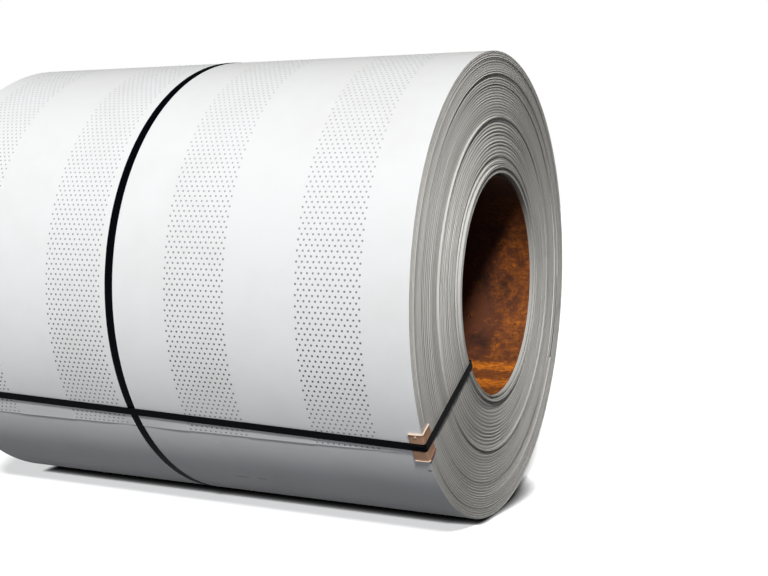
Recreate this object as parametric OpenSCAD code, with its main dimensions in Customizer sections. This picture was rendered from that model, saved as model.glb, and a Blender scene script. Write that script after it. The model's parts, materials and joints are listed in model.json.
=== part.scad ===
// Coil of perforated, painted steel sheet, lying on its side.
// It is wound on a steel core sleeve and tied by two steel straps.
// X runs along the coil's axis, Z is up, and Z = 0 is the floor.

/* [Sheet coil] */
// Outer diameter over the last turn, in mm
coil_od = 1080; // [900:10:1300]
// Width of the sheet, which is the length of the coil
sheet_w = 1250; // [1000:10:1500]
// Thickness of the painted sheet
sheet_t = 0.8; // [0.5:0.1:1.2]
// Radial thickness of one group of turns that lie flush on the end faces
group_t = 6.7; // [5:0.1:12]
// Furthest that the turns wander back from the near end face
stagger = 2; // [1:0.5:3]
// How far the loose turns beside the bore stand out of the near end face
inner_ridge = 6; // [3:0.5:8]
// Radius of the tall ridge on the near end face
tall_ridge_r = 394; // [320:1:420]
// How far the turns of the tall ridge stand out
tall_ridge = 4.5; // [1:0.5:4.5]
// Radius of the low ridge on the near end face
low_ridge_r = 488; // [430:1:489]
// How far the turns of the low ridge stand out
low_ridge = 3; // [1:0.5:3.5]
// Angle of the sheet's free edge below the horizontal, at the front
tail_angle = 33; // [20:0.1:60]

/* [Core sleeve] */
// Inside diameter of the sleeve
core_inner_d = 508; // [400:1:610]
// Wall of the sleeve
core_wall = 3; // [2:0.5:8]
// Distance that the sleeve's ends lie inside the sheet's ends
core_set_back = 6; // [2:1:30]
// Gap between the sleeve and the first turn
core_gap = 0.1; // [0.05:0.05:0.5]

/* [Straps] */
// Width of both straps
strap_w = 20; // [13:1:32]
// Thickness of both straps
strap_t = 0.8; // [0.5:0.1:1]
// Distance of the ring strap's middle from the coil's near end
ring_strap_place = 680; // [300:1:900]
// Angle by which the ring strap runs askew, forward at the back
ring_strap_skew = 3.1; // [0:0.1:4]
// Angle of the eye strap below the horizontal at the near end of its outer run
near_strap_angle = 32.4; // [0:0.1:60]
// Angle of the eye strap below the horizontal at the far end of its outer run
far_strap_angle = 28.2; // [0:0.1:60]
// Angle of the eye strap below the horizontal inside the bore
bore_strap_angle = 37.4; // [0:0.1:60]
// Gap between a strap and what it lies on
strap_gap = 0.1; // [0.05:0.05:0.3]

/* [Strap seals] */
// Length of a seal along its strap
seal_len = 32; // [20:1:50]
// Thickness of the seal's metal
seal_t = 0.9; // [0.5:0.1:1.5]
// Length over which a strap's two ends lie on each other
lap_len = 78; // [60:1:140]
// Width at their mouths of the notches crimped into a seal's sides
notch_w = 5; // [3:0.5:8]
// Depth of those notches
notch_d = 2; // [1:0.5:3]
// Angle of the ring strap's seal above the horizontal, at the back
ring_seal_angle = 38; // [10:1:80]

/* [Edge protectors] */
// Length of the leg that lies along the coil
body_leg = 30; // [20:1:60]
// Length of the leg that lies on the end of the coil
end_leg = 35; // [20:1:60]
// Thickness of the legs
leg_t = 3; // [2:0.5:5]
// Radius of the outer corner between the legs
corner_r = 5; // [4:0.5:6]
// Length of a protector round the coil's edge
protector_w = 75; // [50:1:120]
// Height of the rims that keep the strap from sliding off
rim_h = 1.5; // [1:0.5:5]
// Thickness of those rims
rim_t = 1.5; // [1:0.5:5]
// Distance that a protector sits below the strap's middle
protector_drop = 3; // [0:1:15]
// Diameter of the moulding peg beside the upper rim
peg_d = 5; // [3:0.5:8]

/* [Hidden] */
$fn = 96;
coil_r = coil_od / 2;
core_r = core_inner_d / 2;
bore_r = core_r + core_wall + core_gap;
half_w = sheet_w / 2;
lift = strap_gap + strap_t;
axis_h = coil_r + lift;
ring_x = half_w - ring_strap_place;
groups = floor((coil_r - bore_r) / group_t);
flush_groups = ceil((end_leg + rim_h) / group_t) + 1;
inner_groups = 3;
far = coil_od * 2;

// Turns a radius that points along local X to an angle below the horizontal, at the front
function below_front(angle) = angle - 90;
// Angle of an arc of a given length on a radius
function arc_angle(length, radius) = length / radius * 180 / PI;
// Number of the group of turns that lies at a radius
function group_at(radius) = floor((radius - bore_r) / group_t);
// How far group i of the turns stands back from the near end face and out at the far one. A ridge stands
// out of the near end face, and is a groove in the far one
function set_back(i) =
    i < inner_groups ? -inner_ridge * (i + 2) / (inner_groups + 1)
    : i >= groups - flush_groups ? 0
    : i == group_at(tall_ridge_r) ? -tall_ridge
    : i == group_at(tall_ridge_r) - 1 ? -tall_ridge / 2
    : i == group_at(low_ridge_r) ? -low_ridge
    : stagger * (0.5 + 0.3 * sin(i * 137.5) + 0.2 * sin(i * 41));
// Outer radius of group i. The last one is cut to size by the outline of the last turn
function group_r(i) = i == groups - 1 ? coil_r + group_t : bore_r + (i + 1) * group_t;

// Lays a shape drawn round Z on its side, with the axis at its height above the floor
module on_its_side() {
    translate([0, 0, axis_h]) rotate([0, 90, 0]) children();
}

// The two steps of one end, from the bore outwards
function end_steps(side) = [
    for (i = [0 : groups - 1])
        for (r = [i == 0 ? bore_r : group_r(i - 1), group_r(i)])
            [r, side * half_w - set_back(i)]
];

function reversed(list) = [for (i = [len(list) - 1 : -1 : 0]) list[i]];

// Outline of the last turn: four arcs that grow by a quarter of the sheet each, so that the free edge
// stands one sheet above the turn below it
module last_turn_outline() {
    growth = sheet_t / 4;
    first_r = coil_r - 3.5 * growth;
    centres = [[-1, 1], [-1, -1], [1, -1], [1, 1]] * growth / 2;
    for (k = [0 : 3])
        intersection() {
            translate(centres[k]) circle(r = first_r + k * growth, $fn = 360);
            translate(centres[k]) rotate(90 * k) square(far);
        }
}

module sheet_coil() {
    color("gainsboro")
    on_its_side()
    intersection() {
        rotate_extrude($fn = 360) polygon(concat(end_steps(1), reversed(end_steps(-1))));
        rotate(below_front(tail_angle)) linear_extrude(sheet_w * 2, center = true) last_turn_outline();
    }
}

module core_sleeve() {
    length = sheet_w - 2 * core_set_back;
    color("saddlebrown")
    on_its_side()
    difference() {
        cylinder(h = length, r = core_r + core_wall, center = true, $fn = 180);
        cylinder(h = length + 2, r = core_r, center = true, $fn = 180);
    }
}

// A stretch of band bent round the coil, with its middle on local X
module bent_band(inner_r, thickness, width, length) {
    angle = arc_angle(length, inner_r);
    rotate(-angle / 2)
    rotate_extrude(angle = angle, $fn = 360)
    translate([inner_r, -width / 2]) square([thickness, width]);
}

// What the ring strap's two sides leave of a shape round the coil
module between_ring_sides() {
    on_its_side()
    translate([0, 0, ring_x])
    intersection() {
        rotate([ring_strap_skew, 0, 0]) cube([far, far, strap_w], center = true);
        children();
    }
}

// Puts a piece on the ring strap's lap, with local Y along the strap
module at_ring_seal() {
    turned = 90 + ring_seal_angle;
    on_its_side()
    translate([0, 0, ring_x + coil_r * tan(ring_strap_skew) * sin(turned)])
    rotate(turned)
    rotate([atan(tan(ring_strap_skew) * cos(turned)), 0, 0])
    children();
}

module ring_strap() {
    inner_r = coil_r + strap_gap;
    length = 2 * (strap_w + coil_r * tan(ring_strap_skew));
    color("#14161a")
    between_ring_sides() {
        union() {
            difference() {
                cylinder(h = length, r = inner_r + strap_t, center = true, $fn = 360);
                cylinder(h = length + 2, r = inner_r, center = true, $fn = 360);
            }
            rotate(90 + ring_seal_angle) bent_band(inner_r + strap_t * 0.5, strap_t * 1.5, length, lap_len);
        }
    }
}

// The notches that the crimping tool leaves, two in each side of a seal that lies along local Y
module notches(width) {
    for (side = [-1, 1], place = [-1, 1])
        translate([0, place * seal_len / 4, side * (width / 2 - notch_d)])
        rotate([0, 90, 0])
        linear_extrude(strap_w, center = true)
        polygon([[0, 0], [-side * notch_d * 2, notch_w], [-side * notch_d * 2, -notch_w]]);
}

module ring_strap_seal() {
    under_r = coil_r + strap_gap / 2;
    stack = strap_gap / 2 + 2 * strap_t + strap_gap;
    width = strap_w + 2 * (seal_t + strap_gap);
    color("#2a2c30")
    at_ring_seal()
    difference() {
        bent_band(under_r, stack + seal_t, width, seal_len);
        bent_band(under_r - 1, stack + 1, strap_w + 2 * strap_gap, seal_len * 2);
        translate([under_r + stack, 0, 0]) notches(width);
    }
}

// Corners of the eye strap's inner side as radius, place along the axis and angle below the horizontal,
// from the outer run at the near end
function eye_corners() =
    let (
        outer_r = coil_r + strap_gap + leg_t + strap_gap,
        inner_r = sqrt(pow(core_r, 2) - pow(strap_w / 2, 2)) - strap_gap,
        outer_x = half_w + strap_gap + leg_t + strap_gap,
        ridge_r = group_r(inner_groups - 1),
        ridge_x = half_w + inner_ridge + strap_gap,
        ridge_share = (ridge_r - inner_r) / (outer_r - ridge_r)
    )
    [
        [outer_r, outer_x, near_strap_angle],
        [inner_r, ridge_x + (ridge_x - outer_x) * ridge_share, bore_strap_angle],
        [inner_r, -half_w - stagger - strap_gap, bore_strap_angle],
        [outer_r, -outer_x, far_strap_angle]
    ];

// Point of the coil at a radius, a place along the axis and an angle below the horizontal
function at(radius, place, angle) = [radius * sin(angle), -radius * cos(angle), place];

// Stations along the eye strap. Each is a point of its inner side, the direction away from that side
// and the angle below the horizontal
function eye_stations() = [
    for (k = [0 : 3])
        let (
            corners = eye_corners(),
            flat = [for (c = corners) [c[0], c[1]]],
            here = flat[k],
            into = (here - flat[(k + 3) % 4]) / norm(here - flat[(k + 3) % 4]),
            away = (flat[(k + 1) % 4] - here) / norm(flat[(k + 1) % 4] - here),
            bend_r = k == 0 || k == 3 ? corner_r + strap_gap : bore_r - here[0],
            turn = acos(into * away),
            outward = [into[1], -into[0]],
            centre = here - into * bend_r * tan(turn / 2) - outward * bend_r
        )
        for (step = [0 : 8])
            let (a = turn * step / 8, normal = outward * cos(a) + into * sin(a))
            [centre + normal * bend_r, normal, corners[k][2]]
];

// The four corners of the strap's section at one station
function eye_section(station) =
    let (
        angle = station[2],
        side = at(strap_w / 2, 0, angle + 90),
        inner = at(station[0][0], station[0][1], angle),
        outer = inner + at(strap_t * station[1][0], strap_t * station[1][1], angle)
    )
    [inner - side, inner + side, outer + side, outer - side];

module eye_loop() {
    stations = eye_stations();
    count = len(stations);
    points = [for (station = stations) for (corner = eye_section(station)) corner];
    faces = [
        for (i = [0 : count - 1], k = [0 : 3])
            let (
                a = i * 4 + k,
                b = i * 4 + (k + 1) % 4,
                c = (i + 1) % count * 4 + (k + 1) % 4,
                d = (i + 1) % count * 4 + k
            )
            for (face = [[a, b, c], [a, c, d]]) face
    ];
    polyhedron(points = points, faces = faces);
}

// Puts a piece on the middle of the eye strap's run over the far end, with local X along the run
module at_eye_seal() {
    corners = eye_corners();
    foot = at(corners[2][0], corners[2][1], corners[2][2]);
    top = at(corners[3][0], corners[3][1], corners[3][2]);
    run = top - foot;
    translate((top + foot) / 2)
    rotate([0, -asin(run[2] / norm(run)), atan2(run[1], run[0])])
    rotate([180, 0, 0])
    children();
}

module eye_strap() {
    color("#14161a")
    on_its_side() {
        eye_loop();
        at_eye_seal() translate([0, 0, strap_t * 1.3]) cube([lap_len, strap_w, strap_t * 1.4], center = true);
    }
}

module eye_strap_seal() {
    stack = 2 * strap_t + strap_gap;
    width = strap_w + 2 * (seal_t + strap_gap);
    color("#2a2c30")
    on_its_side()
    at_eye_seal()
    difference() {
        translate([-seal_len / 2, -width / 2, -strap_gap]) cube([seal_len, width, strap_gap + stack + seal_t]);
        translate([-seal_len, -strap_w / 2 - strap_gap, -1]) cube([seal_len * 2, strap_w + 2 * strap_gap, 1 + stack]);
        translate([0, 0, stack]) rotate([0, -90, -90]) notches(width);
    }
}

// Section of an edge protector in the plane of radius and X, with its outer faces moved out by extra
module protector_section(extra) {
    legs = [end_leg, body_leg];
    outside = legs + [1, 1] * (leg_t + extra);
    translate([coil_r + strap_gap, half_w + strap_gap] - legs)
    difference() {
        union() {
            square([outside[0] - corner_r, outside[1]]);
            square([outside[0], outside[1] - corner_r]);
            translate(outside - [corner_r, corner_r]) circle(r = corner_r, $fn = 32);
        }
        translate([-1, -1]) square(legs + [1, 1]);
    }
}

// A protector under the eye strap, at the strap's angle there
module edge_protector(strap_angle) {
    middle = strap_angle + arc_angle(protector_drop, coil_r);
    half_angle = arc_angle(protector_w / 2, coil_r);
    rim_angle = arc_angle(rim_t, coil_r);
    rotate(below_front(middle)) {
        rotate(-half_angle) rotate_extrude(angle = 2 * half_angle, $fn = 360) protector_section(0);
        for (start = [-half_angle, half_angle - rim_angle])
            rotate(start) rotate_extrude(angle = rim_angle, $fn = 360) protector_section(rim_h);
        rotate(arc_angle(rim_t + peg_d, coil_r) - half_angle)
        translate([coil_r + leg_t / 2, 0, half_w - body_leg / 2])
        rotate([0, 90, 0])
        cylinder(h = leg_t / 2 + rim_h, d = peg_d, $fn = 32);
    }
}

module edge_protector_near() {
    color("burlywood") on_its_side() edge_protector(near_strap_angle);
}

module edge_protector_far() {
    color("burlywood") on_its_side() mirror([0, 0, 1]) edge_protector(far_strap_angle);
}

sheet_coil();
core_sleeve();
ring_strap();
ring_strap_seal();
eye_strap();
eye_strap_seal();
edge_protector_near();
edge_protector_far();
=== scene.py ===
"""Looks of a coil of perforated, painted steel sheet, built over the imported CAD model."""

import json
import math
import random

import bmesh
import bpy
from bpy.props import FloatProperty, FloatVectorProperty, IntProperty, PointerProperty
from mathutils import Matrix, Vector


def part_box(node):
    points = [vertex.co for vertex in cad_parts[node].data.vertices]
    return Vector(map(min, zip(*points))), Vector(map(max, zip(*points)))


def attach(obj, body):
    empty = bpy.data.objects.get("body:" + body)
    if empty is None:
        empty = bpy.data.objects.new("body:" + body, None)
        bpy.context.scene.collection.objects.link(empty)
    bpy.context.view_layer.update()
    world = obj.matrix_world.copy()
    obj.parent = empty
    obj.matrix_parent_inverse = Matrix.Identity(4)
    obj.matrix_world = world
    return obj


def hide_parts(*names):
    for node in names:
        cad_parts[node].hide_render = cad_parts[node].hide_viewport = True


bl_info = {
    "name": "Perforated Sheet Coil",
    "version": (1, 0, 0),
    "blender": (4, 5, 0),
    "location": "View3D > Sidebar > Coil",
    "description": "Builds a strapped coil of perforated painted sheet, piece by piece",
    "category": "Add Mesh",
}

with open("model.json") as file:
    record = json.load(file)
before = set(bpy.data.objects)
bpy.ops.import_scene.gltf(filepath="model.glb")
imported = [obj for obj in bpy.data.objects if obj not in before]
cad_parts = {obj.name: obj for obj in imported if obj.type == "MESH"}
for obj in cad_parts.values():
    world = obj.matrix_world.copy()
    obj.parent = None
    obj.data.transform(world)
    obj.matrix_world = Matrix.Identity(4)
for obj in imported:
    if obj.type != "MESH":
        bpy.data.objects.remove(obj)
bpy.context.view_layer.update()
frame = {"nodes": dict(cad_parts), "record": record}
RING_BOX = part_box("ring_strap")
BORE = frame["record"]["mounts"][0]
AXIS_HEIGHT = BORE["pos_m"][2]
BORE_RADIUS = BORE["dims"]["r_mm"] / 1000
SLEEVE_LENGTH = BORE["dims"]["length_mm"] / 1000
COIL_RADIUS = 0.54

# Turns that slipped along the coil as it was wound: share of the radius, and millimetres out of the near end
SLIPS = (
    (0.4700, 3.0), (0.4868, 3.6), (0.4875, -3.5), (0.4990, -3.5), (0.4997, 5.8), (0.5120, 6.7), (0.5127, -1.8),
    (0.5190, -1.8), (0.5197, 1.4), (0.5288, 1.2), (0.5295, -1.5), (0.5405, -1.5), (0.5410, -3.2), (0.5462, -3.2),
    (0.5469, 0.4), (0.5560, 0.8), (0.6100, 1.0), (0.6400, -0.3), (0.6600, -0.8), (0.6750, -1.5), (0.6900, -1.7),
    (0.7113, -1.5), (0.7120, 2.0), (0.7205, 2.7), (0.7212, -1.9), (0.7500, -1.7), (0.8540, -1.6), (0.8550, -2.8),
    (0.8575, -2.8), (0.8585, -1.1), (0.9005, -1.2), (0.9012, 1.7), (0.9300, 1.3), (0.9612, 0.8), (0.9618, -0.9),
    (0.9662, -0.9), (0.9668, 0.6), (0.9990, 0.0), (1.1, 0.0),
)

# Bundles of turns that swell between slips: up to a share of the radius, their spacing and height in millimetres
SWELLS = ((0.5123, 4.0, 0.15), (0.5472, 7.0, 0.2), (0.7116, 8.2, 0.9), (0.9008, 6.3, 0.55), (1.1, 5.5, 0.45))

# Handling marks on the coating, and one painted shadow at the free edge: place along the axis in metres, degrees below
# the horizontal at the front, length along the axis and round the coil in millimetres, and colour
MARKS_AND_SHADOW = (
    (0.115, 38.2, (5, 4), "#FFFFFF"),
    (0.618, 40.2, (6, 4), "#4A4A48"),
    (0.114, 54.0, (22, 5), "#B4B4B6"),
    (0.166, 53.8, (16, 4), "#B4B4B6"),
    # Painted shadow: a short dark line on the free edge, standing for the shade under the lifted edge
    (0.476, 34.8, (5, 1.5), "#3A3A3A"),
)


def linear(code):
    """Linear colour of an sRGB hex code."""
    parts = [int(code[i : i + 2], 16) / 255 for i in (1, 3, 5)]
    return tuple(p / 12.92 if p <= 0.04045 else ((p + 0.055) / 1.055) ** 2.4 for p in parts)


def size(name, description, default, low=0.0):
    """A length that a user can change."""
    return FloatProperty(name=name, description=description, default=default, min=low, unit="LENGTH", precision=4)


def turn(name, description, degrees):
    """An angle that a user can change."""
    return FloatProperty(name=name, description=description, default=math.radians(degrees), unit="ROTATION")


def strength(name, description, default):
    """A strength of light that a user can change."""
    return FloatProperty(name=name, description=description, default=default, min=0)


def colour(name, description, code):
    """A colour that a user can change."""
    return FloatVectorProperty(
        name=name, description=description, default=linear(code), size=3, min=0, max=1, subtype="COLOR",
    )


class CoilSheet(bpy.types.PropertyGroup):
    """Sizes of the wound sheet and its perforation"""

    radius: size("Coil radius", "Radius over the last turn", COIL_RADIUS)
    width: size("Sheet width", "Width of the sheet, along the coil's axis", 1.25)
    thickness: size("Sheet thickness", "Thickness of the painted sheet", 0.0008)
    tail: turn("Free edge", "Angle of the sheet's free edge below the horizontal, at the front", 34.8)
    tail_lift: size("Free edge lift", "Height that the free edge springs up", 0.0012)
    tail_reach: size("Lifted length", "Length of sheet that springs up with the free edge", 0.032)
    hole: size("Hole diameter", "Diameter of the round holes", 0.0048, 0.001)
    pitch: size("Hole pitch", "Distance between the middles of neighbouring holes", 0.013, 0.002)
    holes: IntProperty(name="Holes in a row", description="Holes in the longer rows of a band", default=12, min=2)
    bands: IntProperty(name="Bands", description="Perforated bands across the sheet", default=4, min=1)
    first_band: size("First band", "Distance from the near end to the middle of the first band", 0.1775)
    band_spacing: size("Band spacing", "Distance between the middles of neighbouring bands", 0.3152)
    perforated: turn("Perforated arc", "Part of the last turn that is perforated, from the free edge back", 293)
    slack: size("Slack", "Distance that the loose turns beside the bore lie above the middle", 0.0058)


class CoilPackaging(bpy.types.PropertyGroup):
    """Sizes of the sleeve, straps and corner protectors"""

    sleeve_wall: size("Sleeve wall", "Wall of the core sleeve", 0.003)
    strap_width: size("Strap width", "Width of both straps", 0.02)
    strap_thickness: size("Strap thickness", "Thickness of both straps", 0.0008)
    gap: size("Seat gap", "Gap between a strap and what it lies on", 0.0001)
    ring_place: FloatProperty(
        name="Ring strap place", description="Place of the ring strap's middle along the axis",
        default=(RING_BOX[0].x + RING_BOX[1].x) / 2, unit="LENGTH", precision=4,
    )
    ring_skew: turn("Ring strap skew", "Angle by which the ring strap runs askew, forward at the back", 3.1)
    ring_seal: turn("Ring strap lap", "Angle of the ring strap's lap, from the front round under the coil", 218)
    eye_near: turn("Eye strap near", "Angle of the eye strap's outer run below the horizontal, at the near end", 32.4)
    eye_far: turn("Eye strap far", "Angle of the eye strap's outer run below the horizontal, at the far end", 28.2)
    eye_inside: turn("Eye strap inside", "Angle of the eye strap below the horizontal, inside the bore", 37.4)
    eye_stand: size(
        "Eye strap stand", "Distance from the near end to the strap, over the loose turns beside the bore", 0.006356,
    )
    lap: size("Lap length", "Length over which a strap's ends lie on each other", 0.078)
    body_leg: size("Body leg", "Length of a protector's leg along the coil", 0.030)
    end_leg: size("End leg", "Length of a protector's leg on the end of the coil", 0.035)
    leg_thickness: size("Leg thickness", "Thickness of a protector's legs", 0.003)
    corner: size("Corner radius", "Outer radius of a protector's corner", 0.005)
    protector: size("Protector length", "Length of a protector round the coil's edge", 0.075)
    drop: size("Protector drop", "Distance from the strap's middle down to the protector's middle", 0.003)
    rim: size("Rim height", "Height of the rims at a protector's ends", 0.0015)
    rim_thickness: size("Rim thickness", "Thickness of those rims", 0.0015)


class CoilColours(bpy.types.PropertyGroup):
    """Colours of the finishes"""

    coating: colour("Coating", "Off-white coil coating", "#EFEFED")
    coating_dust: colour("Dust", "Thin dust on the coating", "#DAD8D2")
    primer: colour("Primer", "Grey primer on the back of the sheet", "#B9B8B2")
    edges: colour("Slit edges", "Bare slit edges of the turns", "#F4F1EA")
    # This dull colour also paints the shade in the grooves between bundles of turns
    edges_dull: colour("Dull slit edges", "Slit edges with dirt between them", "#86827A")
    hole_shade: colour("Hole bottom", "Shaded turn that shows through a hole", "#3A3C42")
    hole_lit: colour("Lit hole bottom", "The same turn where light falls into the holes", "#C8C9CC")
    scale: colour("Mill scale", "Dark scale in the sleeve", "#1B0C06")
    rust: colour("Rust", "Brown rust in the sleeve", "#5A2F19")
    fresh_rust: colour("Fresh rust", "Orange rust in the sleeve", "#E07E1A")
    strap: colour("Strap", "Black strap paint", "#040509")
    protector: colour("Protector", "Tan moulded board", "#C79A7C")
    protector_edge: colour("Protector edge", "Pale rims and worn edges", "#E6D0BA")
    # Painted shade on the rim at the foot of a protector's end leg
    protector_stain: colour("Protector stain", "Dark stain on the rim at the foot of a protector", "#8A4E3A")


class CoilStage(bpy.types.PropertyGroup):
    """Camera, light and floor"""

    key: strength("Key light", "Strength of the light from the front and above", 3.38)
    fill: strength("Fill light", "Strength of the low light from the front", 0.56)
    sky: strength("Sky", "Strength of the light from all round", 0.03)
    backdrop: strength("Backdrop", "Brightness of the background", 1.0)
    camera: FloatVectorProperty(
        name="Camera place", description="Place of the camera",
        default=(1.4997, -2.5884, 0.7854), subtype="XYZ", unit="LENGTH",
    )
    tilt: turn("Camera tilt", "Tilt of the camera, up from straight down", 84.7377)
    pan: turn("Camera pan", "Turn of the camera round the vertical", 24.3519)
    lens: FloatProperty(
        name="Lens", description="Focal length, in millimetres on a 36 mm wide sensor", default=54.632, min=1,
    )


class CoilSettings(bpy.types.PropertyGroup):
    """All the settings of the coil"""

    sheet: PointerProperty(type=CoilSheet)
    packaging: PointerProperty(type=CoilPackaging)
    colours: PointerProperty(type=CoilColours)
    stage: PointerProperty(type=CoilStage)


def at(radius, angle, place):
    """Point at a radius from the axis, an angle below the horizontal at the front, and a place along the axis."""
    return Vector((place, -radius * math.cos(angle), AXIS_HEIGHT - radius * math.sin(angle)))


def smooth(value, low, high):
    """Eased step from 0 at low to 1 at high."""
    t = min(max((value - low) / (high - low), 0.0), 1.0)
    return t * t * (3 - 2 * t)


def ring_middle(sheet, packaging, angle):
    """Place of the ring strap's middle along the axis, at an angle below the horizontal at the front."""
    return packaging.ring_place - sheet.radius * math.tan(packaging.ring_skew) * math.cos(angle)


def sheet_point(sheet, packaging, place, length, depth):
    """Point of the last turn: length is measured back from the free edge, and depth into the sheet."""
    full = 2 * math.pi * sheet.radius
    angle = sheet.tail - length / sheet.radius
    radius = sheet.radius - sheet.thickness * length / full - depth
    spring = max(1 - length / sheet.tail_reach, 0.0) ** 2 * sheet.tail_lift
    held = smooth(abs(place - ring_middle(sheet, packaging, sheet.tail)), packaging.strap_width * 0.7, 0.11)
    held *= 1 - smooth(abs(place), sheet.width / 2 - 0.2, sheet.width / 2 - packaging.body_leg * 1.3)
    return at(radius + spring * held, angle, place)


def band_middles(sheet):
    """Places of the middles of the perforated bands along the axis."""
    return [sheet.width / 2 - sheet.first_band - i * sheet.band_spacing for i in range(sheet.bands)]


def band_grid(sheet):
    """Spacing and number of the rows of holes in the last turn, and the half width of a band."""
    row = sheet.pitch * math.sqrt(3) / 2
    rows = int(sheet.perforated * sheet.radius / row)
    return row, rows, sheet.pitch * sheet.holes / 2


def add(tree, kind, inputs=None, **settings):
    """Adds a node to a tree, with its settings, and its inputs as values or as sockets to link."""
    node = tree.nodes.new(kind)
    for name, value in settings.items():
        setattr(node, name, value)
    for key, value in (inputs or {}).items():
        if isinstance(value, bpy.types.NodeSocket):
            tree.links.new(value, node.inputs[key])
        else:
            node.inputs[key].default_value = value
    return node


def start_material(name):
    """A new material with an empty tree, and its object coordinates moved to the coil's axis."""
    material = bpy.data.materials.new(name)
    material.use_nodes = True
    tree = material.node_tree
    tree.nodes.clear()
    place = add(tree, "ShaderNodeTexCoord")
    centred = add(tree, "ShaderNodeMapping", {"Vector": place.outputs["Object"], "Location": (0, 0, -AXIS_HEIGHT)})
    return material, tree, centred.outputs["Vector"]


def end_material(tree, shader):
    """Links a shader to the material's output."""
    add(tree, "ShaderNodeOutputMaterial", {"Surface": shader.outputs[0]})


def rgba(values):
    """A colour with full alpha."""
    return (*values, 1.0)


def coil_coating(colours):
    """Polyester coil coating on galvanised sheet, roller-coated: smooth, low gloss, with a little dust."""
    material, tree, place = start_material("coil_coating")
    # Patches of dust about 150 mm across make the white very slightly uneven
    dust = add(tree, "ShaderNodeTexNoise", {"Vector": place, "Scale": 1 / 0.15, "Detail": 5.0, "Roughness": 0.6})
    amount = add(
        tree, "ShaderNodeMapRange", {"Value": dust.outputs["Fac"], "From Min": 0.45, "From Max": 0.85, "To Max": 0.35},
    )
    tint = add(
        tree, "ShaderNodeMix",
        {0: amount.outputs[0], 6: rgba(colours.coating), 7: rgba(colours.coating_dust)}, data_type="RGBA",
    )
    gloss = add(tree, "ShaderNodeMapRange", {"Value": dust.outputs["Fac"], "To Min": 0.4, "To Max": 0.52})
    # Handling waves of about 60 mm bend the reflections a little
    wave = add(tree, "ShaderNodeTexNoise", {"Vector": place, "Scale": 1 / 0.06, "Detail": 1.0})
    bump = add(tree, "ShaderNodeBump", {"Height": wave.outputs["Fac"], "Strength": 0.12, "Distance": 0.0006})
    # Handling marks and the painted shadow at the free edge, each frayed by grain of about 3 mm
    grain = add(tree, "ShaderNodeTexNoise", {"Vector": place, "Scale": 1 / 0.003, "Detail": 3.0, "Roughness": 0.7})
    for spot, angle, (length, height), code in MARKS_AND_SHADOW:
        middle = at(COIL_RADIUS, math.radians(angle), spot) - Vector((0, 0, AXIS_HEIGHT))
        local = add(
            tree, "ShaderNodeMapping",
            {"Vector": place, "Location": middle, "Scale": (length / 1000, height / 1000, height / 1000)},
            vector_type="TEXTURE",
        )
        near = add(tree, "ShaderNodeVectorMath", {0: local.outputs[0]}, operation="LENGTH")
        frayed = add(
            tree, "ShaderNodeMath", {0: grain.outputs["Fac"], 1: -2.4, 2: near.outputs["Value"]},
            operation="MULTIPLY_ADD",
        )
        inside = add(
            tree, "ShaderNodeMapRange",
            {"Value": frayed.outputs[0], "From Min": -0.15, "From Max": -0.7, "To Max": 0.8},
        )
        tint = add(
            tree, "ShaderNodeMix",
            {0: inside.outputs[0], 6: tint.outputs[2], 7: rgba(linear(code))}, data_type="RGBA",
        )
    end_material(tree, add(
        tree, "ShaderNodeBsdfPrincipled",
        {"Base Color": tint.outputs[2], "Roughness": gloss.outputs[0], "Normal": bump.outputs["Normal"], "IOR": 1.5},
    ))
    return material


def dust_and_shade_coating(colours):
    """The same coating on walls of turns that stand out of the end: darker, for dust and rubbing and for painted shade.
    """
    material, tree, place = start_material("dust_and_shade_coating")
    # Rubbed patches of about 25 mm
    rubbed = add(tree, "ShaderNodeTexNoise", {"Vector": place, "Scale": 1 / 0.025, "Detail": 4.0})
    tint = add(
        tree, "ShaderNodeMix",
        {
            0: rubbed.outputs["Fac"], 6: rgba([c * 0.92 for c in colours.coating_dust]),
            7: rgba([c * 0.78 for c in colours.coating_dust]),
        },
        data_type="RGBA",
    )
    end_material(tree, add(tree, "ShaderNodeBsdfPrincipled", {"Base Color": tint.outputs[2], "Roughness": 0.6}))
    return material


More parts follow.
